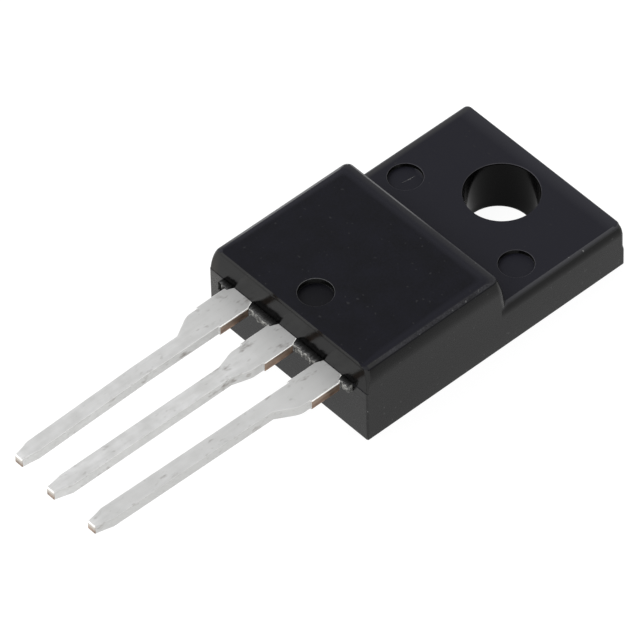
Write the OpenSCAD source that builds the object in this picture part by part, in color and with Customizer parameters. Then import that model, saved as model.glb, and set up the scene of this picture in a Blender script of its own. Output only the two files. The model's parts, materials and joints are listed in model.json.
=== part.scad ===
// Fully moulded three-lead power transistor: a copper header carries the chip inside one black
// epoxy moulding, whose thinner tab takes an M3 screw. It lies on its mounting face.
// Origin: centre of the screw hole, on the mounting face. +Z leaves the marked face, +Y runs from
// the leads to the tab, +X is to the right as seen from the lead end.

/* [Moulding] */
// Width of the moulding
body_w = 10.0; // [9.6:0.1:10.6]
// Length of the moulding, from the lead-end face to the end of the tab
body_l = 15.0; // [14.6:0.1:16.4]
// Height of the thick block above the mounting face
body_h = 4.4; // [4.3:0.05:4.8]
// Height of the parting plane, which is also the top of the leads
parting_h = 2.9; // [2.8:0.05:3.0]
// Thickness of the tab
tab_t = 2.5; // [2.3:0.05:2.6]
// Length of the thick block at its foot, where it meets the tab
block_l = 8.2; // [7.9:0.1:9.0]
// Step by which the upper half is smaller than the lower half at the parting plane
ledge = 0.06; // [0.03:0.01:0.12]
// Lean of the block's flanks over the height of the upper half
flank_lean = 0.12; // [0.05:0.01:0.25]
// Lean of the lead-end face over the height of the upper half
front_lean = 0.06; // [0.02:0.01:0.2]
// Lean of the block's rear face over the height from the tab to the rear bevel
rear_lean = 0.6; // [0.3:0.05:0.9]
// Width of the shallow bevel along the top long edges of the block
top_bevel_w = 0.5; // [0.2:0.05:0.8]
// Width of the shallow bevel along the top rear edge of the block
rear_bevel_w = 0.7; // [0.3:0.05:1.0]
// Drop of the shallow bevels
top_bevel_h = 0.15; // [0.05:0.01:0.25]
// Radius of the upright corners of the lower half
corner_r = 0.2; // [0.1:0.05:0.5]
// Height of the leaning band under the top edge of the tab
tab_band_h = 0.6; // [0.3:0.05:0.9]
// Lean of that band
tab_band_lean = 0.12; // [0.05:0.01:0.2]
// Edge break between the leaning band and the top of the tab
tab_edge = 0.07; // [0.03:0.01:0.12]

/* [Screw hole] */
// Diameter of the screw hole
hole_d = 3.35; // [3.0:0.05:3.5]
// Distance from the hole's centre to the end of the tab
hole_to_end = 2.57; // [2.4:0.01:3.4]

/* [Ejector pin marks] */
// Diameter of the pin marks
pin_d = 1.6; // [1.2:0.1:1.8]
// Depth of the pin marks
pin_depth = 0.18; // [0.05:0.01:0.25]
// Distance of the block's pin mark from the lead-end face
block_pin_y = 1.5; // [1.2:0.1:2.5]
// Distance of the tab's pin marks from the lead-end face
tab_pin_y = 10.0; // [9.9:0.05:10.2]
// Distance of the tab's pin marks from the middle
tab_pin_x = 3.5; // [3.2:0.05:3.7]

/* [Resin left at the leads] */
// How far the resin between the leads stands out of the lead-end face
flash_out = 0.3; // [0.1:0.05:0.34]
// Width of the resin beside each outer lead
flash_side_w = 0.75; // [0.3:0.05:0.9]

/* [Leads] */
// Pitch of the narrow parts of the leads
lead_pitch = 2.54; // [2.5:0.01:2.58]
// Thickness of the lead frame
lead_t = 0.5; // [0.4:0.05:0.6]
// Reach of the leads from the lead-end face
lead_reach = 13.3; // [12:0.1:15]
// Width of a lead where it leaves the moulding
root_w = 1.15; // [1.05:0.05:1.25]
// Width over the sheared stubs of the tie bar
stub_w = 1.46; // [1.38:0.02:1.56]
// Width of the wide part after the stubs
wide_w = 1.3; // [1.26:0.01:1.36]
// Width of the narrow part
narrow_w = 0.7; // [0.6:0.05:0.8]
// Distance from the lead-end face at which the stubs reach their full width
stub_start = 0.35; // [0.35:0.05:0.6]
// Distance from the lead-end face at which the stubs end
stub_end = 1.95; // [1.8:0.05:2.1]
// Distance from the lead-end face at which the narrow part begins
neck_start = 3.5; // [3.4:0.1:4.2]
// Radius at the top of each shoulder
shoulder_r = 1.0; // [0.6:0.1:1.2]
// Slope of the outer leads' shoulders, in degrees
outer_slope = 30; // [27:1:40]
// Slope of the centre lead's shoulders, in degrees
centre_slope = 18; // [17:1:25]
// Length of the tapered tip
tip_l = 0.85; // [0.4:0.05:1.2]
// Width of the cut end of the tip
tip_w = 0.34; // [0.2:0.02:0.5]

/* [Header and chip] */
// Width of the copper header
header_w = 8.2; // [7.6:0.1:8.4]
// Thickness of the copper header
header_t = 1.3; // [1.2:0.05:1.35]
// Resin under the header, which insulates it
header_z = 0.7; // [0.5:0.05:0.75]
// Distance of the header from the lead-end face
header_y = 2.7; // [2.6:0.1:3.0]
// Length of the header
header_l = 6.7; // [6.2:0.1:6.8]
// Radius of the header's corners
header_r = 0.5; // [0.2:0.1:1.0]
// Distance from the lead-end face at which the centre lead starts to step down
step_y = 1.3; // [1.0:0.1:1.5]
// Length of the inner ends of the outer leads, behind the lead-end face
post_l = 2.2; // [2.0:0.1:2.4]
// Width of these inner ends
post_w = 2.4; // [2.0:0.1:2.6]
// Depth of their bonding area
post_depth = 1.3; // [1.0:0.1:1.5]
// Side of the chip across the header
chip_w = 3.4; // [2.8:0.1:4.4]
// Side of the chip along the header
chip_l = 2.8; // [2.4:0.1:3.4]
// Thickness of the chip
chip_t = 0.3; // [0.2:0.05:0.4]
// Distance from the header's lead-side edge to the chip
chip_inset = 0.9; // [0.5:0.1:1.5]
// Thickness of the solder under the chip
solder_t = 0.05; // [0.03:0.01:0.1]
// Margin of solder round the chip
solder_margin = 0.15; // [0.05:0.05:0.3]

/* [Bond wires] */
// Diameter of the source wire
source_wire_d = 0.3; // [0.2:0.02:0.38]
// Diameter of the gate wire
gate_wire_d = 0.14; // [0.1:0.02:0.2]
// Rise of the wires above the tops of the outer leads, to their centre line
loop_rise = 0.55; // [0.5:0.05:0.7]
// Radius of the bends of the wires
loop_r = 0.3; // [0.25:0.05:0.35]
// Thickness of the flattened feet of the wires, as a share of the wire
foot_flat = 0.45; // [0.3:0.05:0.6]

/* [Hidden] */
$fn = 48;
reach_past = 1;                             // how far a cutter runs past what it cuts
lead_face_y = hole_to_end - body_l;         // the lead-end face in this frame
lead_z = parting_h - lead_t;                // underside of the leads
header_top = header_z + header_t;
chip_y = header_y + chip_inset + chip_l / 2;
solder_top = header_top + solder_t;
chip_top = solder_top + chip_t;
wire_z = parting_h + loop_rise;             // centre line of the wires' level stretch
// the wide part of an outer lead is set outwards, so that its inner edge runs straight on
root_shift = (wide_w - narrow_w) / 2;
post_x = lead_pitch + root_shift;

// Everything below is drawn from the lead-end face, and brought to the screw hole here.
module from_lead_end() { translate([0, lead_face_y, 0]) children(); }

// A rectangle from [-w/2, y0] to [w/2, y0 + l] with round corners.
module round_plate(w, y0, l, r) {
    translate([-w / 2 + r, y0]) square([w - 2 * r, l]);
    translate([-w / 2, y0 + r]) square([w, l - 2 * r]);
    for (x = [-w / 2 + r, w / 2 - r], y = [y0 + r, y0 + l - r]) translate([x, y]) circle(r);
}

// An outline in Y and Z, swept over a width about the middle.
module across(w) { translate([-w / 2, 0, 0]) rotate([90, 0, 90]) linear_extrude(w) children(); }

// An outline in X and Z, swept from the lead-end face along Y.
module along(l) { translate([0, l, 0]) rotate([90, 0, 0]) linear_extrude(l) children(); }

// ---- the moulding

module lower_half() {
    // under the block, up to the parting plane
    intersection() {
        linear_extrude(parting_h) round_plate(body_w, 0, body_l, corner_r);
        across(body_w) polygon([[0, 0], [block_l, 0], [block_l, tab_t], [rear_y(parting_h), parting_h],
                                [0, parting_h]]);
    }
    // the tab, whose sides lean in under its top edge
    band_z = tab_t - tab_band_h;
    band_top = tab_t - tab_edge;
    in = tab_band_lean;
    x = body_w / 2;
    intersection() {
        linear_extrude(tab_t) round_plate(body_w, 0, body_l, corner_r);
        along(body_l) polygon([[-x, 0], [x, 0], [x, band_z], [x - in, band_top], [x - in - tab_edge, tab_t],
                               [-x + in + tab_edge, tab_t], [-x + in, band_top], [-x, band_z]]);
        across(body_w) polygon([[block_l - corner_r, 0], [body_l, 0], [body_l, band_z], [body_l - in, band_top],
                                [body_l - in - tab_edge, tab_t], [block_l - corner_r, tab_t]]);
    }
}

// Place of the block's rear face at a height between the tab and the rear bevel.
function rear_y(z) = block_l - rear_lean * pow((z - tab_t) / (body_h - top_bevel_h - tab_t), 1.4);

module upper_half() {
    x0 = body_w / 2 - ledge;
    x1 = x0 - flank_lean;
    z1 = body_h - top_bevel_h;
    steps = 4;
    rear = [for (i = [0:steps]) let (z = parting_h + (z1 - parting_h) * i / steps) [rear_y(z), z]];
    intersection() {
        across(body_w) polygon(concat([[ledge, parting_h]], rear,
            [[rear_y(z1) - rear_bevel_w, body_h], [ledge + front_lean, body_h]]));
        along(block_l) polygon([[-x0, parting_h], [x0, parting_h], [x1, z1], [x1 - top_bevel_w, body_h],
                                [-x1 + top_bevel_w, body_h], [-x1, z1]]);
    }
}

// Resin that filled the gaps of the lead frame up to the tie bar, broken off near the moulding.
module flash() {
    w = 2 * (post_x + root_w / 2 + flash_side_w);
    translate([-w / 2, -flash_out, lead_z]) cube([w, flash_out + corner_r + ledge, lead_t]);
}

module pin_mark(x, y, top) {
    translate([x, y, top - pin_depth]) cylinder(d = pin_d, h = pin_depth + reach_past);
}

module screw_hole() {
    translate([0, body_l - hole_to_end, -reach_past]) cylinder(d = hole_d, h = tab_t + 2 * reach_past, $fn = 96);
}

module moulded_body() {
    color([0.13, 0.13, 0.14]) difference() {
        from_lead_end() difference() {
            union() { lower_half(); upper_half(); flash(); }
            screw_hole();
            pin_mark(0, block_pin_y, body_h);
            for (side = [-1, 1]) pin_mark(side * tab_pin_x, tab_pin_y, tab_t);
        }
        drain_lead_and_header();
        gate_lead();
        source_lead();
        silicon_chip();
        chip_solder();
        gate_wire();
        source_wire();
    }
}

// ---- the lead frame

// One edge of a lead, from its inner end to the tip, on the side where x is positive. The inner
// end is a list of half widths and places, the shift moves the wide part, and the slope is that
// of the shoulder, or 0 where the edge has none.
function lead_edge(inner, shift, slope) =
    let (wide = shift + wide_w / 2, narrow = narrow_w / 2, drop = wide - narrow,
         arc_drop = shoulder_r * (1 - cos(slope)),
         ramp = slope > 0 ? (drop - arc_drop) / tan(slope) : 0,
         arc_start = neck_start - ramp - shoulder_r * sin(slope))
    concat(
        [for (p = inner) [shift + p[0], p[1]]],
        [[shift + root_w / 2, 0], [shift + stub_w / 2, -stub_start], [shift + stub_w / 2, -stub_end],
         [wide, -stub_end]],
        slope > 0 ? [for (i = [0:5]) let (a = slope * i / 5)
                        [wide - shoulder_r * (1 - cos(a)), -arc_start - shoulder_r * sin(a)]] : [],
        slope > 0 ? [[narrow, -neck_start]] : [],
        [[narrow, -(lead_reach - tip_l)], [narrow - (narrow_w - tip_w) * 0.2, -(lead_reach - tip_l * 0.55)],
         [tip_w / 2, -lead_reach]]);

function flip(points) = [for (i = [len(points) - 1:-1:0]) [-points[i][0], points[i][1]]];

// The stamped outline of a lead, about the middle of its narrow part.
module lead_outline(inner, shift, right_slope, left_slope) {
    polygon(concat(lead_edge(inner, shift, right_slope), flip(lead_edge(inner, -shift, left_slope))));
}

// An outer lead: its inner end widens to a post, on which the bond wire sits.
module outer_lead(side) {
    post = [[post_w / 2, post_l], [post_w / 2, post_l - post_depth], [root_w / 2, post_l - post_depth]];
    from_lead_end() translate([side * lead_pitch, 0, lead_z]) linear_extrude(lead_t)
        if (side > 0) lead_outline(post, root_shift, outer_slope, 0);
        else lead_outline(post, -root_shift, 0, outer_slope);
}

module gate_lead() { color([0.8, 0.8, 0.82]) outer_lead(-1); }

module source_lead() { color([0.8, 0.8, 0.82]) outer_lead(1); }

// The centre lead is one stamping with the thick header: it steps down inside the moulding.
module drain_lead_and_header() {
    color([0.78, 0.76, 0.74]) from_lead_end() {
        translate([0, 0, lead_z]) linear_extrude(lead_t) 
            lead_outline([[root_w / 2, step_y / 2]], 0, centre_slope, centre_slope);
        step_slope = atan2(parting_h - header_top, header_y - step_y);
        bend = lead_t * tan(step_slope / 2);
        across(root_w) polygon([[0, lead_z], [step_y, lead_z], [header_y, header_top - lead_t],
                                [header_y + header_r, header_top - lead_t], [header_y + header_r, header_top],
                                [header_y + bend, header_top], [step_y + bend, parting_h], [0, parting_h]]);
        translate([0, 0, header_z]) linear_extrude(header_t) round_plate(header_w, header_y, header_l, header_r);
    }
}

// ---- the chip

module silicon_chip() {
    color([0.35, 0.36, 0.4]) from_lead_end()
        translate([-chip_w / 2, chip_y - chip_l / 2, solder_top]) cube([chip_w, chip_l, chip_t]);
}

module chip_solder() {
    w = chip_w + 2 * solder_margin;
    l = chip_l + 2 * solder_margin;
    color([0.6, 0.6, 0.62]) from_lead_end()
        translate([-w / 2, chip_y - l / 2, header_top]) cube([w, l, solder_t]);
}

// ---- the bond wires

// A wire from one pad to another: flattened feet, upright legs, round bends and a level stretch.
module bond_wire(from, to, d) {
    span = to - from;
    reach = norm([span[0], span[1]]);
    turn = atan2(span[1], span[0]);
    foot_h = d * foot_flat;
    foot_l = 3 * d;
    translate(from) rotate([0, 0, turn]) {
        for (end = [0, 1]) {
            x = end * reach;
            z = end * span[2];
            inward = 1 - 2 * end;
            translate([x - foot_l / 2, -0.65 * d, z]) cube([foot_l, 1.3 * d, foot_h]);
            translate([x, 0, z + foot_h]) cylinder(d = d, h = wire_z - from[2] - loop_r - z - foot_h, $fn = 24);
            translate([x + inward * loop_r, 0, wire_z - from[2] - loop_r]) rotate([90, 0, 0])
                rotate([0, 0, end * -90]) rotate([0, 0, 90]) rotate_extrude(angle = 90, $fn = 24)
                    translate([loop_r, 0]) circle(d = d, $fn = 24);
        }
        translate([loop_r, 0, wire_z - from[2]]) rotate([0, 90, 0]) cylinder(d = d, h = reach - 2 * loop_r, $fn = 24);
    }
}

module gate_wire() {
    color([0.85, 0.85, 0.86]) from_lead_end()
        bond_wire([-chip_w * 0.3, chip_y - chip_l * 0.3, chip_top],
                  [-post_x + post_w * 0.2, post_l - post_depth / 2, parting_h], gate_wire_d);
}

module source_wire() {
    color([0.85, 0.85, 0.86]) from_lead_end()
        bond_wire([chip_w * 0.2, chip_y, chip_top],
                  [post_x - post_w * 0.2, post_l - post_depth / 2, parting_h], source_wire_d);
}

moulded_body();
drain_lead_and_header();
gate_lead();
source_lead();
silicon_chip();
chip_solder();
gate_wire();
source_wire();
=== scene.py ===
# %% [markdown]
# # A three-lead power transistor in a fully moulded case
#
# The part is black epoxy moulded round a stamped copper lead frame. Its block holds the chip, the thinner
# tab behind it has the screw hole, and three tinned leads leave the other end at the parting plane of the
# mould. The solid model gives the size. This notebook adds what a solid model leaves out: soft and worn
# edges, the resin left between the leads, sheared copper, mould texture, and the light of a small studio.
#
# Lengths are written in millimetres while a piece is modelled, and scaled to metres when it is finished.

# %% Frame
import json
import math
import random

import bmesh
import bpy
from mathutils import Matrix, Vector

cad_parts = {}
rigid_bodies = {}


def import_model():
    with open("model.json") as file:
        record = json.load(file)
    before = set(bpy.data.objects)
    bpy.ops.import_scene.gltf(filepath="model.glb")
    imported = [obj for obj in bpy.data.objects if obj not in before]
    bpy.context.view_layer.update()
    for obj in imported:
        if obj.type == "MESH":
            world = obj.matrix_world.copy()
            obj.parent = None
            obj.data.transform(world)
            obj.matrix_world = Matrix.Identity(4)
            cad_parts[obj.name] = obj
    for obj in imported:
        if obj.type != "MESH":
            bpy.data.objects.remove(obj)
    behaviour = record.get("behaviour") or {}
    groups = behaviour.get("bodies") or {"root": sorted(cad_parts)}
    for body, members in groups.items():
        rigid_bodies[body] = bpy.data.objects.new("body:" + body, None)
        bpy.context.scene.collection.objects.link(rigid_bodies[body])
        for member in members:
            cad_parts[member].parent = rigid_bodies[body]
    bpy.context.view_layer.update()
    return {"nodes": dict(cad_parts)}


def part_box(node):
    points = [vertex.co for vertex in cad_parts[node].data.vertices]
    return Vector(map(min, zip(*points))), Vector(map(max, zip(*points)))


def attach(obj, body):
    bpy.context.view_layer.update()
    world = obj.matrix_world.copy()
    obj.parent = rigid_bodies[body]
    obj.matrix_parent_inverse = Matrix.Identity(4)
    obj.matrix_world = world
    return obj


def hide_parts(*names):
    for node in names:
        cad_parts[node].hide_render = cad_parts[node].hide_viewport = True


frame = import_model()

print("solids:", sorted(frame["nodes"]))

# %% [markdown]
# ## Sizes
#
# The half width, the height, the parting plane and the far end are read from the solids, so that a changed
# solid moves the visible pieces with it. The other main sizes follow here. A small one, such as the width
# of a bevel, gets its name in the cell that needs it. Along Y, a piece is drawn from the face that the
# leads leave, and `face_y` then brings it to its place.

# %% Sizes
MM = 0.001
body_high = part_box("moulded_body")[1] / MM
lead_low, lead_high = (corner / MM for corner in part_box("gate_lead"))
half_w, far_y, top_z = body_high
lead_z, parting_z = lead_low.z, lead_high.z
body_l, block_l = 15.0, 8.2
tab_z = 2.5
face_y = far_y - body_l
print(f"body {2 * half_w:.2f} x {body_l:.2f} x {top_z:.2f} mm")
print(f"leads from z {lead_z:.2f} to {parting_z:.2f} mm")

# %% [markdown]
# ## Camera
#
# A long lens from far away keeps parallel edges nearly parallel, as in a product photograph. The camera is
# placed by two angles and a distance from the point it looks at, and then rolled a little about its own
# axis. A Track To constraint would aim it too, but it would undo the roll, so the three axes are worked out
# one by one.

# %% Camera
azimuth, elevation, roll = (math.radians(a) for a in (48.874, 47.674, -1.394))
aim = Vector((-1.413, -9.353, 0.161)) * MM
distance = 314.6 * MM
back = Vector((
    math.sin(azimuth) * math.cos(elevation),
    -math.cos(azimuth) * math.cos(elevation),
    math.sin(elevation),
))
right = (-back).cross(Vector((0, 0, 1))).normalized()
up = right.cross(-back)
cam_x = right * math.cos(roll) + up * math.sin(roll)
cam_y = up * math.cos(roll) - right * math.sin(roll)
turn = Matrix((cam_x, cam_y, back)).transposed().to_4x4()

camera = bpy.data.objects.new("camera", bpy.data.cameras.new("camera"))
camera.matrix_world = Matrix.Translation(aim + back * distance) @ turn
camera.data.sensor_width = 36
camera.data.lens = 412.4
bpy.context.scene.collection.objects.link(camera)
bpy.context.scene.camera = camera
print("camera at", tuple(round(v, 4) for v in camera.location))

# %% [markdown]
# ## Node helpers
#
# The materials below are wired by script. These three helpers add a node, fill one of its inputs with
# either a number or a link, and do one sum. Each later cell then reads like the formula that it builds.

# %% Node helpers
def add_node(tree, kind, **values):
    node = tree.nodes.new(kind)
    for key, value in values.items():
        setattr(node, key, value)
    return node


def feed(tree, socket, value):
    if isinstance(value, bpy.types.NodeSocket):
        tree.links.new(value, socket)
    else:
        socket.default_value = value


def add_math(tree, operation, a, b):
    node = add_node(tree, "ShaderNodeMath", operation=operation)
    feed(tree, node.inputs[0], a)
    feed(tree, node.inputs[1], b)
    return node.outputs[0]


print("node helpers:", [helper.__name__ for helper in (add_node, feed, add_math)])

# %% [markdown]
# ## Floor
#
# The part lies on a wide white sheet. The camera, and whatever mirrors the sheet, see it mostly as a plain
# white glow, as on a light table, and for the rest as a matt sheet with the light that falls on it. So it
# shows white, and still darkens a little where the part shades it. All other rays see only the matt sheet,
# which keeps the light on the part true. The sheet lies a hair under the part, so that two faces never
# share one plane.

# %% Floor
floor_r, floor_gap = 3.0, 2e-6
glow_share, glow_strength = 0.84, 1.1

floor_bm = bmesh.new()
bmesh.ops.create_circle(floor_bm, cap_ends=True, segments=96, radius=floor_r)
bmesh.ops.translate(floor_bm, verts=floor_bm.verts, vec=(0, 0, -floor_gap))
floor = bpy.data.objects.new("floor", bpy.data.meshes.new("floor"))
floor_bm.to_mesh(floor.data)
floor_bm.free()
bpy.context.scene.collection.objects.link(floor)

floor_mat = bpy.data.materials.new("white floor")
floor_mat.use_nodes = True
tree = floor_mat.node_tree
matt = tree.nodes["Principled BSDF"]
matt.inputs["Base Color"].default_value = (0.8, 0.8, 0.8, 1)
matt.inputs["Roughness"].default_value = 1.0
matt.inputs["Specular IOR Level"].default_value = 0.0
glow = add_node(tree, "ShaderNodeEmission")
glow.inputs["Strength"].default_value = glow_strength
rays = add_node(tree, "ShaderNodeLightPath").outputs
seen = add_math(tree, "MAXIMUM", rays["Is Camera Ray"], rays["Is Glossy Ray"])
seen = add_math(tree, "MAXIMUM", seen, rays["Is Transmission Ray"])
blend = add_node(tree, "ShaderNodeMixShader")
feed(tree, blend.inputs["Fac"], add_math(tree, "MULTIPLY", seen, glow_share))
feed(tree, blend.inputs[1], matt.outputs[0])
feed(tree, blend.inputs[2], glow.outputs[0])
feed(tree, tree.nodes["Material Output"].inputs["Surface"], blend.outputs[0])
floor.data.materials.append(floor_mat)
print("floor:", 2 * floor_r, "m wide")

# %% [markdown]
# ## Light
#
# The world gives the even part of the light. The black resin gets nearly all its tone from what it mirrors,
# and what it mirrors is this even white. Three wide area lamps add a direction. The left one is by far the
# strongest, and gives the leads and the worn edges on that side their light. The other two are weak: one
# stands high behind the part, where the tops of the leads mirror it towards the camera, and one in front.
# Wide discs are used in place of spots, because their shadows are soft.

# %% Light
world_strength = 0.92
world = bpy.data.worlds.new("studio")
world.use_nodes = True
world.node_tree.nodes["Background"].inputs["Color"].default_value = (1, 1, 1, 1)
world.node_tree.nodes["Background"].inputs["Strength"].default_value = world_strength
bpy.context.scene.world = world
bpy.context.scene.view_settings.view_transform = "Standard"


def add_lamp(name, place, watts, width):
    lamp = bpy.data.lights.new(name, "AREA")
    lamp.shape = "DISK"
    lamp.size = width
    lamp.energy = watts
    obj = bpy.data.objects.new(name, lamp)
    obj.location = place
    obj.rotation_euler = (-Vector(place)).to_track_quat("-Z", "Y").to_euler()
    bpy.context.scene.collection.objects.link(obj)
    print(name, watts, "W")


add_lamp("back lamp", (-0.35, 0.30, 0.55), 0.06, 0.35)
add_lamp("front lamp", (0.10, -0.60, 0.50), 0.04, 0.35)
add_lamp("left lamp", (-0.32, -0.28, 0.42), 3.2, 0.5)

# %% [markdown]
# ## Shared surface effects
#
# An effect that several materials use is a node group, built once and placed with other values in each
# material. All groups read Object coordinates, so they stay fixed to the part. Their noise scales are large
# numbers because the coordinates are in metres: a scale of 10000 gives spots of about a tenth of a
# millimetre.
#
# Both surface groups below have the same inputs: two colours and two roughnesses. One value, the tone,
# mixes the colours and moves the roughness, so that a darker spot is also a smoother one, as on a real
# surface.

# %% Group helpers
COLOUR, VALUE, VECTOR = "NodeSocketColor", "NodeSocketFloat", "NodeSocketVector"


def new_group(name, inputs, outputs):
    group = bpy.data.node_groups.new(name, "ShaderNodeTree")
    for side, sockets in (("INPUT", inputs), ("OUTPUT", outputs)):
        for label, kind in sockets.items():
            group.interface.new_socket(name=label, in_out=side, socket_type=kind)
    start = add_node(group, "NodeGroupInput").outputs
    end = add_node(group, "NodeGroupOutput").inputs
    place = add_node(group, "ShaderNodeTexCoord").outputs["Object"]
    return group, start, end, place


def add_noise(tree, place, scale, detail=2.0, roughness=0.5, stretch=None):
    if stretch:
        mapping = add_node(tree, "ShaderNodeMapping")
        mapping.inputs["Scale"].default_value = stretch
        tree.links.new(place, mapping.inputs["Vector"])
        place = mapping.outputs["Vector"]
    noise = add_node(tree, "ShaderNodeTexNoise")
    noise.inputs["Scale"].default_value = scale
    noise.inputs["Detail"].default_value = detail
    noise.inputs["Roughness"].default_value = roughness
    tree.links.new(place, noise.inputs["Vector"])
    return noise.outputs["Fac"]


def add_range(tree, value, low, high, to_low=0.0, to_high=1.0):
    node = add_node(tree, "ShaderNodeMapRange")
    labels = ("Value", "From Min", "From Max", "To Min", "To Max")
    for label, given in zip(labels, (value, low, high, to_low, to_high)):
        feed(tree, node.inputs[label], given)
    return node.outputs["Result"]


def add_mix(tree, share, under, over):
    node = add_node(tree, "ShaderNodeMix", data_type="RGBA")
    feed(tree, node.inputs["Factor"], share)
    feed(tree, node.inputs["A"], under)
    feed(tree, node.inputs["B"], over)
    return node.outputs["Result"]


def new_surface_group(name, masks):
    inputs = {"Dark": COLOUR, "Light": COLOUR, "Low Roughness": VALUE, "High Roughness": VALUE}
    outputs = {"Color": COLOUR, "Roughness": VALUE, "Height": VALUE, **{mask: VALUE for mask in masks}}
    return new_group(name, inputs, outputs)


def feed_tone(group, start, end, tone):
    feed(group, end["Color"], add_mix(group, tone, start["Dark"], start["Light"]))
    rough = add_range(group, tone, 0.0, 1.0, start["Low Roughness"], start["High Roughness"])
    feed(group, end["Roughness"], rough)


print("group helpers:", [helper.__name__ for helper in (new_surface_group, feed_tone, add_noise, add_mix)])

# %% [markdown]
# ## Texture of the moulding
#
# The faces of the mould are sparked or polished steel, and the resin copies them as a fine grain with
# broad, faint clouds. The grain also feeds the height. Two masks come with it: specks for loose dust, which
# are the rare peaks of a smooth noise, and crumbs for the bright chips of broken resin.

# %% Mould texture
mould_texture, start, end, place = new_surface_group("mould texture", ("Specks", "Crumbs"))
grain = add_noise(mould_texture, place, 14000, 3.0, 0.6)
clouds = add_noise(mould_texture, place, 900, 2.0)
tone = add_math(mould_texture, "ADD", add_math(mould_texture, "MULTIPLY", grain, 0.6),
                add_math(mould_texture, "MULTIPLY", clouds, 0.4))
feed_tone(mould_texture, start, end, add_range(mould_texture, tone, 0.35, 0.65))
feed(mould_texture, end["Height"], grain)
dust = add_noise(mould_texture, place, 6500, 0.0)
feed(mould_texture, end["Specks"], add_range(mould_texture, dust, 0.80, 0.84))
chips = add_noise(mould_texture, place, 7500, 3.0, 0.7)
feed(mould_texture, end["Crumbs"], add_range(mould_texture, chips, 0.48, 0.58))
print("mould texture:", len(mould_texture.nodes), "nodes")

# %% [markdown]
# ## Texture of rolled and plated metal
#
# Stamped and plated metal shows two things: lines along the strip from rolling, and small pits where the
# plating is thin. The lines are noise squeezed across X, so that it stretches along Y. The pits are the
# peaks of two noises, small faint ones and large deep ones, and they are also dents in the height.

# %% Rolled metal
rolled_metal, start, end, place = new_surface_group("rolled metal", ("Pits",))
lines = add_noise(rolled_metal, place, 600, 4.0, 0.6, (6, 1.0, 4))
clouds = add_noise(rolled_metal, place, 1500, 3.0)
tone = add_range(rolled_metal, add_math(rolled_metal, "ADD", lines, clouds), 0.75, 1.25)
feed_tone(rolled_metal, start, end, tone)
small = add_range(rolled_metal, add_noise(rolled_metal, place, 4200, 1.0, 0.5, (1.2, 0.6, 1)), 0.66, 0.76)
large = add_range(rolled_metal, add_noise(rolled_metal, place, 1300, 3.0, 0.65, (1.4, 0.55, 1)), 0.62, 0.73)
pits = add_math(rolled_metal, "MAXIMUM", add_math(rolled_metal, "MULTIPLY", small, 0.35), large)
feed(rolled_metal, end["Pits"], pits)
raised = add_math(rolled_metal, "MULTIPLY", lines, 0.5)
feed(rolled_metal, end["Height"], add_math(rolled_metal, "SUBTRACT", raised, pits))
print("rolled metal:", len(rolled_metal.nodes), "nodes")

# %% [markdown]
# ## Fades
#
# Handling, plating and light wear change a surface from one end to the other. A fade moves a colour towards
# another one between two places along an axis. It could be painted on the vertices, but long flat faces
# have too few of those. So a dot product of each point with the axis gives its place along it.

# %% Fade group
fade_inputs = {"Color": COLOUR, "Other": COLOUR, "Along": VECTOR, "Start": VALUE, "End": VALUE, "Most": VALUE}
fade_group, start, end, place = new_group("fade", fade_inputs, {"Color": COLOUR})
along = add_node(fade_group, "ShaderNodeVectorMath", operation="DOT_PRODUCT")
feed(fade_group, along.inputs[0], place)
feed(fade_group, along.inputs[1], start["Along"])
share = add_range(fade_group, along.outputs["Value"], start["Start"], start["End"], 0.0, start["Most"])
feed(fade_group, end["Color"], add_mix(fade_group, share, start["Color"], start["Other"]))
AXES = {"X": (1, 0, 0), "Y": (0, 1, 0), "Z": (0, 0, 1)}


def fade(axis, first, last, colour, most=1.0):
    return {"Along": AXES[axis], "Start": first * MM, "End": last * MM, "Other": (*colour, 1), "Most": most}


print("fade:", len(fade_group.nodes), "nodes")

# %% [markdown]
# ## One recipe for every material
#
# Each material is the same recipe: a surface group with its own colours and roughnesses, any fades, then
# the marks of one mask on top. The group's height feeds a Bump node. What is the same over the whole
# surface, such as how strongly it mirrors, stays a plain number on the shader. `rougher` adds roughness
# between two heights.

# %% Material recipe
def place_group(tree, group, values):
    node = add_node(tree, "ShaderNodeGroup", node_tree=group)
    for label, value in values.items():
        feed(tree, node.inputs[label], value)
    return node.outputs


def rougher_above(tree, roughness, low, high, extra):
    split = add_node(tree, "ShaderNodeSeparateXYZ")
    feed(tree, split.inputs[0], add_node(tree, "ShaderNodeTexCoord").outputs["Object"])
    added = add_range(tree, split.outputs["Z"], low * MM, high * MM, 0.0, extra)
    return add_math(tree, "ADD", roughness, added)


def make_material(name, group, dark, light, rough, bump, mirror=0.5, metallic=0.0, marks=None, fades=(),
                  rougher=None, depth=0.01):
    mat = bpy.data.materials.new(name)
    mat.use_nodes = True
    tree = mat.node_tree
    shader = tree.nodes["Principled BSDF"].inputs
    shader["Metallic"].default_value = metallic
    shader["Specular IOR Level"].default_value = mirror
    low, high = rough
    surface = place_group(tree, group, {"Dark": (*dark, 1), "Light": (*light, 1),
                                        "Low Roughness": low, "High Roughness": high})
    colour = surface["Color"]
    for values in fades:
        colour = place_group(tree, fade_group, {"Color": colour, **values})["Color"]
    if marks:
        mask, mark_colour = marks
        colour = add_mix(tree, surface[mask], colour, (*mark_colour, 1))
    feed(tree, shader["Base Color"], colour)
    roughness = surface["Roughness"]
    if rougher:
        roughness = rougher_above(tree, roughness, *rougher)
    feed(tree, shader["Roughness"], roughness)
    height = add_node(tree, "ShaderNodeBump")
    height.inputs["Strength"].default_value = bump
    height.inputs["Distance"].default_value = depth * MM
    feed(tree, height.inputs["Height"], surface["Height"])
    feed(tree, shader["Normal"], height.outputs["Normal"])
    return mat


print("groups to choose from:", [group.name for group in bpy.data.node_groups])
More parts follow.
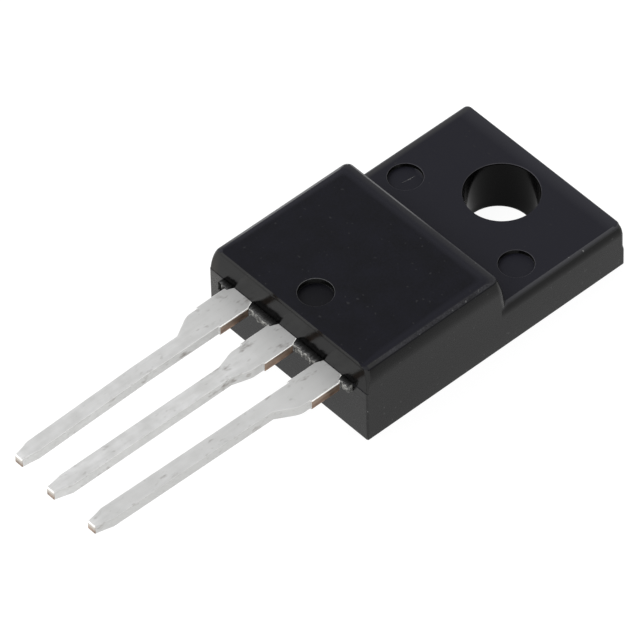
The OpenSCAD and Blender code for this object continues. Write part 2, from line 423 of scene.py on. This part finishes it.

# %% [markdown]
# ## Black resin
#
# The same resin looks different on each face, because each came off another part of the mould. The upward
# faces are finely sparked and mirror little. The upright sides are smoother. The lead-end face above the
# parting plane is glossy, and the wall of the hole is glossier still, as a polished core pin leaves it. A
# black plastic mirrors only a few hundredths of the light, so the mirror values are well under the usual
# 0.5. On the upward faces the fades paint light and shade at the ridge: the sloping frame around the top
# face is painted lighter as its reflection, the ridge gets a painted highlight line, and what faces up
# below it, the floor of the pin mark in the block too, gets painted shade. At and below the parting plane
# the tab gets a tone of its own, lighter towards its far end and its left edge. The lead-end face is
# lighter towards its left end, and the smooth sides towards the far end.

# %% Black resin
dust_on_top = ("Specks", (0.012, 0.012, 0.014))
dust_on_sides = ("Specks", (0.03, 0.03, 0.03))
moulded_face = make_material(
    "epoxy, textured face", mould_texture, (0.0002, 0.0002, 0.0014), (0.0032, 0.0032, 0.0068),
    (0.45, 0.60), 0.4, mirror=0.112, marks=dust_on_top,
    # Painted light and shade at the ridge: the sloping frame lighter as its painted reflection, a painted
    # highlight line on the ridge, painted shade on what faces up below it.
    fades=[fade("Z", top_z - 0.003, top_z - 0.06, (0.007, 0.007, 0.011)),
           fade("Z", top_z - 0.10, top_z - 0.145, (0.018, 0.018, 0.020), 0.8),
           fade("Z", top_z - 0.20, top_z - 0.24, (0.0015, 0.0015, 0.003)),
           fade("Z", parting_z + 0.1, parting_z, (0.007, 0.007, 0.011)),
           fade("Y", far_y - 0.87, far_y + 0.03, (0.022, 0.022, 0.027)),
           fade("X", 0.50 - half_w, 0.32 - half_w, (0.030, 0.030, 0.031), 0.8)])
moulded_side = make_material(
    "epoxy, smooth side", mould_texture, (0.001, 0.001, 0.001), (0.004, 0.004, 0.004), (0.20, 0.34), 0.3,
    mirror=0.15, marks=dust_on_sides, fades=[fade("Y", -10.0, 2.0, (0.010, 0.010, 0.010))])
moulded_front = make_material(
    "epoxy, smooth front", mould_texture, (0.001, 0.001, 0.001), (0.004, 0.004, 0.004), (0.20, 0.34), 0.3,
    mirror=0.17, marks=dust_on_sides, fades=[fade("X", 1.0 - half_w, 0.7 - half_w, (0.035, 0.034, 0.032))])
moulded_lean = make_material(
    "epoxy, leaning side", mould_texture, (0.003, 0.003, 0.003), (0.007, 0.007, 0.007), (0.20, 0.34), 0.3,
    mirror=0.155, marks=dust_on_sides, rougher=(tab_z - 0.62, tab_z - 0.3, 0.3))
moulded_gloss = make_material(
    "epoxy, glossy", mould_texture, (0.001, 0.001, 0.001), (0.003, 0.003, 0.003), (0.12, 0.22), 0.12,
    mirror=0.12, fades=[fade("X", 0.7 - half_w, 0.2 - half_w, (0.016, 0.014, 0.011))])
hole_wall = make_material(
    "epoxy, hole wall", mould_texture, (0.001, 0.001, 0.001), (0.003, 0.003, 0.003), (0.08, 0.16), 0.1,
    mirror=0.066)
print("materials:", len(bpy.data.materials))

# %% [markdown]
# ## Worn and broken resin
#
# Rubbed edges of a black moulding look grey. The worn edge is lighter towards the left, and its tone is
# set plainly at and below the parting plane, on the rim of the tab and near the lead-end face. Where the
# resin broke off between the leads it is pale and rough, with bright crumbs. The broken pieces at the outer
# left stay in the shade and are painted darker as painted shade, and the tops of the lips are casts of the
# polished mould.

# %% Worn and broken resin
worn_edge = make_material(
    "epoxy, worn edge", mould_texture, (0.005, 0.005, 0.006), (0.034, 0.034, 0.039), (0.45, 0.60), 0.8,
    mirror=0.17, marks=("Specks", (0.15, 0.15, 0.15)),
    fades=[fade("X", 1.0, -1.2, (0.10, 0.10, 0.103)),
           fade("Z", parting_z + 0.1, parting_z, (0.038, 0.038, 0.042)),
           fade("Z", tab_z - 0.04, tab_z - 0.10, (0.015, 0.015, 0.016)),
           fade("Y", face_y + 1.63, face_y + 0.33, (0.02, 0.02, 0.02))])
broken_resin = make_material(
    "epoxy, broken", mould_texture, (0.004, 0.004, 0.004), (0.13, 0.13, 0.125), (0.60, 0.80), 1.0,
    mirror=0.4, marks=("Crumbs", (0.30, 0.30, 0.285)), depth=0.03)
# Painted shade: the broken pieces at the outer left are painted darker, as they stay in the shade.
broken_painted_shade = make_material(
    "epoxy, broken, painted shade", mould_texture, (0.003, 0.003, 0.003), (0.02, 0.02, 0.019), (0.80, 0.95), 1.0,
    mirror=0.02)
lip_top = make_material(
    "epoxy, lip top", mould_texture, (0.007, 0.007, 0.007), (0.013, 0.013, 0.013), (0.15, 0.30), 0.3,
    mirror=0.155)
print("materials:", len(bpy.data.materials))

# %% [markdown]
# ## Metals
#
# The leads are copper with a matt tin plating. Matt tin scatters a good part of the light, so it is only
# half metallic here, which also keeps it from mirroring the black body. Its sides face the bright floor and
# are set lighter. The tin of the wide part near the body is painted darker, as painted shade from the body.
# The top edge of a sheared side is near-white matt tin: tin wrapped over the edge, painted lighter as a
# highlight. The cut tips run from copper at the bottom to smeared tin at the top, as the blade drags the
# plating along.

# %% Metals
tin = make_material(
    "tin plating", rolled_metal, (0.43, 0.43, 0.425), (0.525, 0.525, 0.525), (0.32, 0.48), 0.5,
    metallic=0.45, marks=("Pits", (0.22, 0.21, 0.20)),
    fades=[fade("X", 1.2, 1.6, (0.40, 0.40, 0.395), 0.5), fade("X", -1.8, -2.2, (0.40, 0.40, 0.395), 0.25),
           # Painted shade: the tin is darker on the wide part near the body, which shades it.
           fade("Y", -16.0, -13.8, (0.38, 0.38, 0.375), 0.6)])
tin_side = make_material(
    "tin plating, side", rolled_metal, (0.55, 0.55, 0.54), (0.65, 0.65, 0.64), (0.32, 0.48), 0.5,
    metallic=0.45, marks=("Pits", (0.30, 0.28, 0.26)), fades=[fade("X", 1.2, 1.6, (0.50, 0.50, 0.49), 0.65)])
# Painted highlight: near-white matt tin for the rounded top edge of a sheared side, standing for tin wrapped
# over the edge and the light it catches.
tin_edge_highlight = make_material(
    "tin plating, burr", rolled_metal, (0.90, 0.90, 0.87), (0.97, 0.97, 0.95), (0.4, 0.6), 0.5)
sheared_copper = make_material(
    "sheared copper", rolled_metal, (0.10, 0.055, 0.035), (0.42, 0.29, 0.21), (0.35, 0.60), 0.8,
    metallic=0.7, marks=("Pits", (0.08, 0.06, 0.05)),
    fades=[fade("Z", lead_z + 0.15, lead_z + 0.30, (0.38, 0.31, 0.25), 0.45)])
cut_tip = make_material(
    "sheared copper, tip", rolled_metal, (0.12, 0.08, 0.055), (0.36, 0.27, 0.21), (0.35, 0.60), 0.8,
    metallic=0.5,
    fades=[fade("Z", lead_z + 0.14, lead_z + 0.34, (0.50, 0.47, 0.43)),
           fade("Z", lead_z + 0.38, lead_z + 0.46, (0.86, 0.84, 0.80))])
silicon = make_material(
    "silicon die", rolled_metal, (0.10, 0.10, 0.12), (0.16, 0.16, 0.19), (0.15, 0.25), 0.1, metallic=0.6)
solder = make_material(
    "die solder", rolled_metal, (0.45, 0.45, 0.46), (0.60, 0.60, 0.61), (0.35, 0.55), 0.6, metallic=1.0)
aluminium = make_material(
    "aluminium wire", rolled_metal, (0.80, 0.80, 0.81), (0.90, 0.90, 0.91), (0.25, 0.40), 0.3, metallic=1.0)
print("materials:", len(bpy.data.materials))

# %% [markdown]
# ## Lofting with extrude
#
# Most pieces here are stacks of outlines. The first outline becomes one face, and each next one is an
# extrusion of that face whose vertices are then moved to their new places. An integer layer on the vertices
# remembers which corner each one is, and extruding copies it, so the order never gets lost. The operator
# leaves the old face where it was. The first one is the bottom of the stack, and the others would be walls
# inside it, so they are deleted.

# %% Lofting
def arc(cx, cy, r, start, stop, steps=4):
    turns = (math.radians(start + (stop - start) * i / steps) for i in range(steps + 1))
    return [(cx + r * math.cos(a), cy + r * math.sin(a)) for a in turns]


def at_height(outline, z):
    return [(x, y, z) for x, y in outline]


def start_face(bm, ring):
    corner = bm.verts.layers.int.get("corner") or bm.verts.layers.int.new("corner")
    verts = [bm.verts.new(point) for point in ring]
    for i, v in enumerate(verts):
        v[corner] = i
    return bm.faces.new(verts)


def carry_face(bm, face, ring):
    corner = bm.verts.layers.int["corner"]
    inside = any(len(e.link_faces) > 1 for e in face.edges)
    made = bmesh.ops.extrude_face_region(bm, geom=[face])["geom"]
    if inside:
        bmesh.ops.delete(bm, geom=[face], context="FACES_ONLY")
    face = next(g for g in made if isinstance(g, bmesh.types.BMFace))
    for v in face.verts:
        v.co = ring[v[corner]]
    return face


def loft(bm, rings):
    face = start_face(bm, rings[0])
    for ring in rings[1:]:
        face = carry_face(bm, face, ring)
    return face


trial = bmesh.new()
loft(trial, [at_height(arc(0, 0, 1, 0, 270, 3), z) for z in (0, 1, 2)])
print("two levels on a square:", len(trial.faces), "faces")
trial.free()

# %% [markdown]
# ## Finishing helpers
#
# `soften` bevels the sharp edges that a test picks out. `to_object` turns the normals outward and makes the
# mesh an object. `finish_piece` scales it to metres, shades it smooth with normals weighted by area, so
# that large faces look flat beside small bevels, attaches it to the root body and hides the solids that it
# replaces.

# %% Finishing helpers
def soften(bm, width, chosen, angle=28, steps=2):
    sharp = math.radians(angle)
    edges = [e for e in bm.edges if e.is_manifold and e.calc_face_angle() > sharp and chosen(e)]
    bmesh.ops.bevel(bm, geom=edges, offset=width, segments=steps, profile=0.5, affect="EDGES",
                    clamp_overlap=True, material=-1)


def to_object(bm, name, materials):
    bmesh.ops.recalc_face_normals(bm, faces=bm.faces)
    mesh = bpy.data.meshes.new(name)
    bm.to_mesh(mesh)
    bm.free()
    for mat in materials:
        mesh.materials.append(mat)
    obj = bpy.data.objects.new(name, mesh)
    bpy.context.scene.collection.objects.link(obj)
    return obj


def finish_piece(obj, nodes, slot):
    obj.data.transform(Matrix.Scale(MM, 4))
    for polygon in obj.data.polygons:
        polygon.use_smooth = True
    weighted = obj.modifiers.new("flat faces stay flat", "WEIGHTED_NORMAL")
    weighted.keep_sharp = True
    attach(obj, "root")
    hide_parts(*nodes)
    print(f"{obj.name}: {len(obj.data.polygons)} faces")


print("finishing helpers:", [helper.__name__ for helper in (soften, to_object, finish_piece)])

# %% [markdown]
# ## Outlines of the moulding
#
# The moulding could be two boxes joined by a Boolean, but its walls lean and its corners change from level
# to level, so it is a stack of outlines. `footprint` is the outline of the whole case. Its front corners
# are small. Above the straight part of the walls the tab leans inward, its far corners have radii of their
# own, and the far edge runs out of square by a hair. `block_outline` is the block alone, with a half width
# at its front, its side and its rear. Both start with the front corners, followed by one point on the side.

# %% Outlines
side_y = 1.3
corner_r, block_rear_r = 0.1, 0.45
left_far_r = 0.2
far_lean, far_skew = 0.4, 0.15


def side_points(lean, far_r):
    x_top = half_w - lean
    far = body_l - far_lean * lean
    side = [(half_w, side_y), (half_w, block_l - block_rear_r), (x_top, block_l)]
    return side + arc(x_top - far_r, far - far_r, far_r, 0, 90)


def front_corners(x, y, r):
    return arc(-x + r, y + r, r, 180, 270) + arc(x - r, y + r, r, 270, 360)


def mirrored(side):
    return [(-x, y) for x, y in reversed(side)]


def footprint(lean, far_r):
    outline = front_corners(half_w, 0, corner_r) + side_points(lean, far_r)
    outline += mirrored(side_points(lean, min(far_r, left_far_r)))
    skewed = [(x, y - far_skew * lean * (1 + x / half_w) * (y > body_l - 1)) for x, y in outline]
    return [(x, y + face_y) for x, y in skewed]


def block_outline(half_widths, y_front, y_rear, r_front, r_rear=block_rear_r):
    x_front, x_side, x_rear = half_widths
    side = [(x_side, side_y)] + arc(x_rear - r_rear, y_rear - r_rear, r_rear, 0, 90, 5)
    outline = front_corners(x_front, y_front, r_front) + side + mirrored(side)
    return [(x, y + face_y) for x, y in outline]


print("footprint:", len(footprint(0, left_far_r)), "points")

# %% [markdown]
# ## Lower part of the moulding
#
# The stack starts on the mounting face. The far corners get rounder above the first millimetre, the walls
# lean more and more below the tab's top face, and three close rings round its rim. At the top face, the
# whole face is split along the rear edge of the block. Only the block's share of it goes on upwards, and
# the rest is the tab.

# %% Body stack
band_h, band_lean = 0.6, 0.1
tab_edge = 0.15
band_z = tab_z - band_h
far_corners = ((0, 0.06), (0.95, 0.08), (1.15, 0.20), (band_z, 0.22))

rings = [at_height(footprint(0, far_r), z) for z, far_r in far_corners]
for t in (0.4, 0.7, 1.0):
    ring = footprint(band_lean * t ** 2, 0.22 + 0.08 * t)
    rings.append(at_height(ring, band_z + (band_h - tab_edge) * t))
for a in (math.radians(30), math.radians(60), math.radians(90)):
    ring = footprint(band_lean + tab_edge * (1 - math.cos(a)), 0.3)
    rings.append(at_height(ring, tab_z - tab_edge * (1 - math.sin(a))))
bm = bmesh.new()
face = loft(bm, rings)

straight = (half_w, half_w, half_w)
lower_ring = block_outline(straight, 0, block_l, corner_r)
front_count = len(front_corners(half_w, 0, corner_r))
rear_edge = lower_ring[front_count + 1:-1]


def apart(v, point):
    return (v.co.xy - Vector(point)).length


ends = [min(face.verts, key=lambda v: apart(v, point)) for point in (rear_edge[0], rear_edge[-1])]
bmesh.utils.face_split(face, ends[0], ends[1], coords=at_height(rear_edge[1:-1], tab_z))
level = [f for f in bm.faces if abs(f.normal.z) > 0.99 and abs(f.calc_center_median().z - tab_z) < 0.01]
face = min(level + [face], key=lambda f: f.calc_center_bounds().y)
corner = bm.verts.layers.int["corner"]
for v in face.verts:
    v[corner] = min(range(len(lower_ring)), key=lambda i: apart(v, lower_ring[i]))
print("block face:", len(face.verts), "corners of", len(lower_ring))

# %% [markdown]
# ## Upper part of the moulding
#
# Above the parting plane the flanks lean inward, slowly at first and then faster, and the rear face is
# slightly hollow, so eight levels follow them. Four close rings round the ridge, because a bevel there
# would pinch at the corners. A flat slope then leads over to the top face, narrow at the lead end and wide
# at the rear. The real block leans to the right by a hair, as the two halves of a mould rarely line up. So
# what lies above the parting plane is moved to the right, the more the higher it is.

# %% Body upper levels
flank_lean = 0.27
ridge_z, rounding = top_z - 0.15, 0.11
rear_y, rear_lean = 8.12, 0.39
front_y, front_lean = 0.02, 0.08
mould_shift = 0.09


def clamped(value):
    return max(0.0, min(1.0, value))


def flank(z, inset=0.0):
    climb = (z - parting_z) / (ridge_z - parting_z)
    t = min(1.0, climb)
    x = half_w - flank_lean * t ** 2.5 - inset
    rear = rear_y - rear_lean * t ** 1.1 - 2.2 * inset
    front = front_y + front_lean * climb
    return at_height(block_outline((x, x, x), front, rear, corner_r + 0.1 * t, block_rear_r - 0.15 * t), z)


for z, y in ((2.72, 8.17), (parting_z, rear_y)):
    face = carry_face(bm, face, at_height(block_outline(straight, 0, y, corner_r), z))
levels = [parting_z + (ridge_z - rounding - parting_z) * i / 7 for i in range(8)]
levels[0] += 0.002
for z in levels:
    face = carry_face(bm, face, flank(z))
for dz, inset in ((-0.05, 0.012), (-0.015, 0.045), (0.01, 0.09), (0.03, 0.14)):
    face = carry_face(bm, face, flank(ridge_z + dz, inset))
top_outline = block_outline((4.37, 4.24, 4.15), 0.109, 6.9, 0.12, 0.2)
face = carry_face(bm, face, at_height(top_outline, top_z))
for v in bm.verts:
    lifted = clamped((v.co.z - parting_z) / (ridge_z - parting_z))
    v.co.x = min(half_w, v.co.x + mould_shift * lifted)
bmesh.ops.recalc_face_normals(bm, faces=bm.faces)
print("stack:", len(bm.faces), "faces")

# %% [markdown]
# ## Which finish each face gets
#
# A face's finish follows from where it is and which way it looks, so no face is picked by number. The
# rounded ridge behind the front, the rim of the tab and the leaning corners of the front are worn.

# %% Body finishes
FACE, SIDE, FRONT, LEAN, GLOSS, HOLE, WORN, BROKEN, BROKEN_SHADE, LIP = range(10)
body_materials = [moulded_face, moulded_side, moulded_front, moulded_lean, moulded_gloss, hole_wall,
                  worn_edge, broken_resin, broken_painted_shade, lip_top]


def finish_of(f):
    middle, normal = f.calc_center_median(), f.normal
    z, from_face = middle.z, middle.y - face_y
    behind_block = from_face > block_l - 0.3
    if behind_block and normal.z < 0.97 and tab_z - 0.95 * tab_edge < z < tab_z:
        return WORN
    if abs(z - ridge_z) < 0.04 and 0.1 < normal.z < 0.94 and normal.y > -0.7 and from_face > 0.28:
        return WORN
    if abs(normal.z) >= 0.5:
        return FACE
    if normal.y < -0.9:
        return GLOSS if z > parting_z else FRONT
    if behind_block and band_z < z < tab_z:
        return LEAN
    if z < ridge_z and 0.12 < abs(normal.x) < 0.99 and normal.y < 0:
        return WORN
    return SIDE


bm.normal_update()
for f in bm.faces:
    f.material_index = finish_of(f)
print("worn faces:", sum(f.material_index == WORN for f in bm.faces))

# %% [markdown]
# ## Soft and sharp edges
#
# The edge around the mounting face gets a small bevel. All faces are shaded smooth later, so the edges that
# are crisp on the real part are marked sharp here: around the top face at the front, down the front
# corners, along the step between block and tab, and down the short column where the tab's wall meets the
# block's.

# %% Body edges
def middle_z(edge):
    return (edge.verts[0].co.z + edge.verts[1].co.z) / 2


def stays_sharp(e):
    z = middle_z(e)
    if all(v.co.y < face_y + 0.35 for v in e.verts):
        if all(v.co.z > top_z - 0.001 for v in e.verts):
            return True
        if z > 0.1 and len({f.material_index for f in e.link_faces}) > 1:
            return True
    if abs(z - tab_z) < 0.01 and e.calc_face_angle(0) > math.radians(60):
        return True
    column = all(abs(abs(v.co.x) - half_w) < 0.01 and abs(v.co.y - ends[0].co.y) < 0.01 for v in e.verts)
    return column and band_z - 0.01 < z < tab_z + 0.3


soften(bm, 0.05, lambda e: middle_z(e) < 0.01, angle=60)
for e in bm.edges:
    if stays_sharp(e):
        e.smooth = False
print("sharp edges:", sum(not e.smooth for e in bm.edges))
body = to_object(bm, "moulded_case", body_materials)
print("body:", len(body.data.polygons), "faces before cutting")

# %% [markdown]
# ## Screw hole
#
# A hole in a moulding is where two core pins met. Here it is cut with a Boolean difference, because its rim
# lies on one flat face and it crosses no edge. The cutter is a stack of circles that flares where it leaves
# the surface, so the rim comes out slightly rounded without another bevel. The wall tapers, and the lower
# core was a little out of line, so the low rings of the cutter are moved.

# %% Screw hole
hole_r, hole_low_r = 1.73, 1.56
low_core_shift = (-0.03, -0.15, 0)
round_steps = 96


def circle(x, y, r, z):
    turns = (math.tau * i / round_steps for i in range(round_steps))
    return at_height([(x + r * math.cos(a), y + r * math.sin(a)) for a in turns], z)


def round_cutter(name, x, y, levels, index, rim_z, low_shift=(0, 0, 0)):
    cutter_bm = bmesh.new()
    loft(cutter_bm, [circle(x, y, r, z) for r, z in levels])
    low = [v for v in cutter_bm.verts if v.co.z < 0.2]
    bmesh.ops.translate(cutter_bm, verts=low, vec=low_shift)
    for f in cutter_bm.faces:
        f.material_index = WORN if f.calc_center_median().z > rim_z else index
    return to_object(cutter_bm, name, body_materials)


def cut(obj, cutter):
    step = obj.modifiers.new("cut", "BOOLEAN")
    step.operation = "DIFFERENCE"
    step.solver = "EXACT"
    step.object = cutter
    graph = bpy.context.evaluated_depsgraph_get()
    made = bpy.data.meshes.new_from_object(obj.evaluated_get(graph))
    obj.modifiers.clear()
    obj.data = made
    bpy.data.objects.remove(cutter)


hole_levels = [
    (1.80, -0.3), (hole_low_r + 0.03, 0.0), (hole_low_r, 0.05), (hole_low_r + 0.004, 0.12),
    (hole_low_r + 0.02, 0.5), (hole_r - 0.019, tab_z - 0.1), (hole_r - 0.015, tab_z - 0.04), (hole_r, tab_z),
    (1.8, tab_z + 0.3),
]
cut(body, round_cutter("hole", 0, 0, hole_levels, HOLE, tab_z - 0.039, low_core_shift))
print("body:", len(body.data.polygons), "faces with the hole")

# %% [markdown]
# ## Ejector pin marks
#
# Pins push the hot part out of the mould, and each leaves a shallow round recess with a textured floor and
# a glossy wall: one in the block and two on the tab. The same kind of cutter makes them. In the left one on
# the tab there is a fine scratch, which is cut with a thin spindle of three sides.

# %% Pin marks
pin_r = 0.8
scratch_w, scratch_d = 0.013, 0.012


def pin_cutter(x, y, top, deep):
    floor_z = top - deep
    rings = [(pin_r - 0.015, floor_z), (pin_r, floor_z + 0.01), (pin_r, top - 0.015), (pin_r + 0.02, top),
             (1.0, top + 0.2)]
    cutter = round_cutter("pin", x, y + face_y, rings, GLOSS, top - 0.012)
    for polygon in cutter.data.polygons:
        if abs(polygon.center.z - floor_z) < 0.001:
            polygon.material_index = FACE
    return cutter


def scratch_cutter(x, y, reach_x, reach_y, floor_z):
    cutter_bm = bmesh.new()
    across = Vector((reach_y, -reach_x, 0)).normalized() * scratch_w
    above = Vector((0, 0, 0.01))
    rings = []
    for t, size in ((-1, 0.1), (-0.4, 0.8), (0.3, 1.0), (1, 0.1)):
        middle = Vector((x + reach_x * t, y + face_y + reach_y * t, floor_z))
        rings.append([middle + across * size + above, middle - across * size + above,
                      middle - Vector((0, 0, scratch_d * size))])
    loft(cutter_bm, rings)
    for f in cutter_bm.faces:
        f.material_index = BROKEN
    return to_object(cutter_bm, "scratch", body_materials)


tab_pin_x, tab_pin_y, tab_pin_d = 3.5, 10.0, 0.2
cut(body, pin_cutter(0.2, 1.47, top_z, 0.28))
for x in (-tab_pin_x, tab_pin_x):
    cut(body, pin_cutter(x, tab_pin_y, tab_z, tab_pin_d))
cut(body, scratch_cutter(-3.43, 10.08, 0.07, 0.45, tab_z - tab_pin_d))
print("body:", len(body.data.polygons), "faces with the pin marks")

# %% [markdown]
# ## Resin left between the leads
#
# While the case is moulded, resin fills the gaps of the lead frame as far as its tie bar. When the bar is
# cut out, most of that resin breaks off, and a rough lip stays on the lead-end face. Each lip is a small
# profile swept sideways in short steps, with the front corners of every step moved by seeded random
# amounts. It gets shorter towards a lead, where the blade pulled the resin off. A displaced box would be
# rough on all sides, but the top of a lip is a smooth cast of the mould, and this way only its front is
# broken.

# %% Resin lips
rng = random.Random(7)
lead_pitch, root_shift, root_w = 2.54, 0.3, 1.15
step_l, buried_y, cap_z = 0.05, 0.12, parting_z + 0.004
roots = [side * (lead_pitch + root_shift) for side in (-1, 0, 1)]
lead_edges = [middle + off for middle in roots for off in (-root_w / 2, root_w / 2)]


def lip_profile(out, low_share):
    mid = out * rng.uniform(0.85, 1.15)
    low = out * (low_share + rng.uniform(-0.2, 0.15))
    return [
        (buried_y, lead_z + 0.02),
        (-low, lead_z + 0.03 + rng.uniform(0, 0.03)),
        (-mid, lead_z + rng.uniform(0.2, 0.3)),
        (-out, parting_z - 0.03 - rng.uniform(0, 0.03)),
        (-out + 0.02, cap_z),
        (buried_y, cap_z),
    ]


def add_lip(bm, x0, x1, reach, first, last):
    steps = max(6, round((x1 - x0) / step_l))
    rings = []
    ragged = 0.0
    for i in range(steps + 1):
        x = x0 + (x1 - x0) * i / steps
        ragged = 0.6 * ragged + rng.uniform(-0.035, 0.035)
        gap = min(abs(x - edge) for edge in lead_edges)
        out = min(reach + ragged, 0.04 + 2.4 * gap)
        out = max(0.02, min(out, 0.40))
        low_share = first + (last - first) * i / steps
        rings.append([(x, face_y + y, z) for y, z in lip_profile(out, low_share)])
    loft(bm, rings)


def lip_finish(f):
    middle = f.calc_center_median()
    if f.normal.z > 0.8:
        return LIP
    # Broken faces at the outer left get the painted shade.
    outer_left = middle.x < -3.4 and (abs(middle.x + 3.87) > 0.05 or middle.z < lead_z + 0.25)
    return BROKEN_SHADE if outer_left else BROKEN


bm = bmesh.new()
for x0, x1, reach, first, last in ((-4.12, -3.43, 0.30, 1.0, 0.9), (-2.26, -0.58, 0.36, 0.9, 0.4),
                                   (0.58, 2.26, 0.34, 0.95, 0.35), (3.43, 4.08, 0.28, 0.8, 0.6)):
    add_lip(bm, x0, x1, reach, first, last)
bmesh.ops.recalc_face_normals(bm, faces=bm.faces)
bm.normal_update()
for f in bm.faces:
    f.material_index = lip_finish(f)
lips = to_object(bm, "resin_lips", body_materials)
print("lips:", len(lips.data.polygons), "faces")

# %% [markdown]
# ## Shape of the leads
#
# The solids already have the stamped outline of the leads, so they are the starting point. Their meshes are
# loose triangles, so a copy is merged and its flat faces are joined again. Two cuts across it make rings of
# vertices where a thin lead bends and where its tip starts. Real leads are never quite alike: each has its
# own width and length, the left one leans to the right from its middle, and the cut ends are a little off
# centre. The cut end itself gets wider and thinner, as the blade squeezes it. All other moves are in X and
# Y only, which keeps the wide faces flat.

# %% Lead shapes
ROOT_Y, OUT_START, BEND_START, TIP_START, TIP_END = -0.3, -3.5, -6.0, -12.45, -13.3
TIP_SIDE, END_SIDE = -12.0, -13.2
SHOULDER_START, SHOULDER_END = -2.2, -3.6
squeezed = (1.35, 1, 0.92)


def merged_copy(node):
    bm = bmesh.new()
    bm.from_mesh(frame["nodes"][node].data)
    bmesh.ops.scale(bm, verts=bm.verts, vec=(1 / MM,) * 3)
    bmesh.ops.remove_doubles(bm, verts=bm.verts, dist=0.0005)
    bmesh.ops.dissolve_limit(bm, angle_limit=math.radians(1), verts=bm.verts, edges=bm.edges)
    for y in (BEND_START, TIP_START):
        everything = bm.verts[:] + bm.edges[:] + bm.faces[:]
        bmesh.ops.bisect_plane(bm, geom=everything, dist=0.0001,
                               plane_co=(0, face_y + y, 0), plane_no=(0, 1, 0))
    return bm


def shape_lead(bm, middle_x, shorter, left, right, end_x, bend=0.0, shoulder=0.0):
    tip = [v for v in bm.verts if v.co.y < face_y + TIP_SIDE]
    end = [v for v in tip if v.co.y < face_y + END_SIDE]
    middle = sum((v.co for v in end), Vector()) / len(end)
    bmesh.ops.scale(bm, verts=end, vec=squeezed, space=Matrix.Translation(-middle))
    for v in bm.verts:
        y = v.co.y - face_y
        if y >= ROOT_Y:
            continue
        near, far = left if v.co.x < middle_x else right
        out = clamped((OUT_START - y) / (OUT_START - TIP_START))
        at_end = clamped((TIP_START - y) / (TIP_START - TIP_END))
        sideways = near + (far - near) * out
        v.co.x += sideways * (1 - at_end) + end_x * at_end + bend * max(0.0, BEND_START - y)
        if v.co.x < middle_x and SHOULDER_END < y < SHOULDER_START:
            v.co.y -= shoulder
    bmesh.ops.translate(bm, verts=tip, vec=(0, shorter, 0))
    bmesh.ops.recalc_face_normals(bm, faces=bm.faces)
    bm.normal_update()


trial = merged_copy("gate_lead")
print("merged gate lead:", len(trial.faces), "faces")
trial.free()

# %% [markdown]
# ## Finish of the leads
#
# The sides of the stubs were sheared after plating, when the tie bar was cut out, and so were the tips:
# these faces show bare copper. They are picked before the edges are rounded. Rounding adds the faces of the
# edges, and the one along the top of a sheared side facing +X gets near-white matt tin: tin wrapped over
# the edge, painted lighter as a highlight.

# %% Lead finishes
edge_w = 0.10
lead_materials = [tin, sheared_copper, tin_side, tin_edge_highlight, cut_tip]
TIN, COPPER, TIN_SIDE, TIN_EDGE_HIGHLIGHT, TIP = range(5)


def flat_finish(f):
    y = f.calc_center_median().y - face_y
    stub_side = abs(f.normal.x) > 0.9 and -1.9 < y < -0.4
    tip_end = f.normal.y < -0.9 and y < -12.5
    if stub_side or tip_end:
        return COPPER
    return TIN_SIDE if abs(f.normal.x) > 0.5 else TIN


def rounded_finish(f, tip_y):
    middle = f.calc_center_median()
    if middle.y < tip_y + 0.6 * edge_w:
        return TIP
    # The rounded top edge of a sheared stub side facing +X gets the near-white tin with its painted
    # highlight.
    if 0.2 < f.normal.x < 0.99 and f.normal.z > 0.2 and -1.9 < middle.y - face_y < 0.5:
        return TIN_EDGE_HIGHLIGHT
    if abs(f.normal.x) > 0.2 and f.material_index == TIN:
        return TIN_SIDE
    return f.material_index


def make_lead(node, **shape):
    bm = merged_copy(node)
    shape_lead(bm, **shape)
    for f in bm.faces:
        f.material_index = flat_finish(f)
    soften(bm, edge_w, lambda e: True, angle=40, steps=3)
    bm.normal_update()
    tip_y = min(v.co.y for v in bm.verts)
    for f in bm.faces:
        f.material_index = rounded_finish(f, tip_y)
    finish_piece(to_object(bm, node + "_stamping", lead_materials), [node], "tinned_copper")


make_lead("gate_lead", middle_x=-2.6, shorter=0.33, left=(-0.11, -0.07), right=(0, 0), end_x=0.0, bend=0.0206,
          shoulder=0.11)
make_lead("drain_lead_and_header", middle_x=0.0, shorter=0.13, left=(-0.11, -0.12), right=(0, 0), end_x=-0.12)
make_lead("source_lead", middle_x=2.6, shorter=0.15, left=(0, -0.12), right=(0.1, 0), end_x=-0.09)

# %% [markdown]
# ## Inner pieces
#
# The chip, its solder and the bond wires are buried in the resin, and their solids are right as they are.
# They keep their own meshes and only get their materials: dark polished silicon, dull solder and drawn
# aluminium.

# %% Inner pieces
for node, mat in (("silicon_chip", silicon), ("chip_solder", solder),
                  ("gate_wire", aluminium), ("source_wire", aluminium)):
    mesh = frame["nodes"][node].data
    mesh.materials.clear()
    mesh.materials.append(mat)
    print(node, "->", mat.name)

# %% [markdown]
# ## The moulding is finished
#
# The case and the lips were one pour of resin, so both replace the same solid. They
# stay two meshes: the lips dip a little into the case, and joining them would need another Boolean for no
# visible gain.

# %% Body parts together
finish_piece(body, ["moulded_body"], "epoxy_moulding")
finish_piece(lips, ["moulded_body"], "epoxy_moulding")
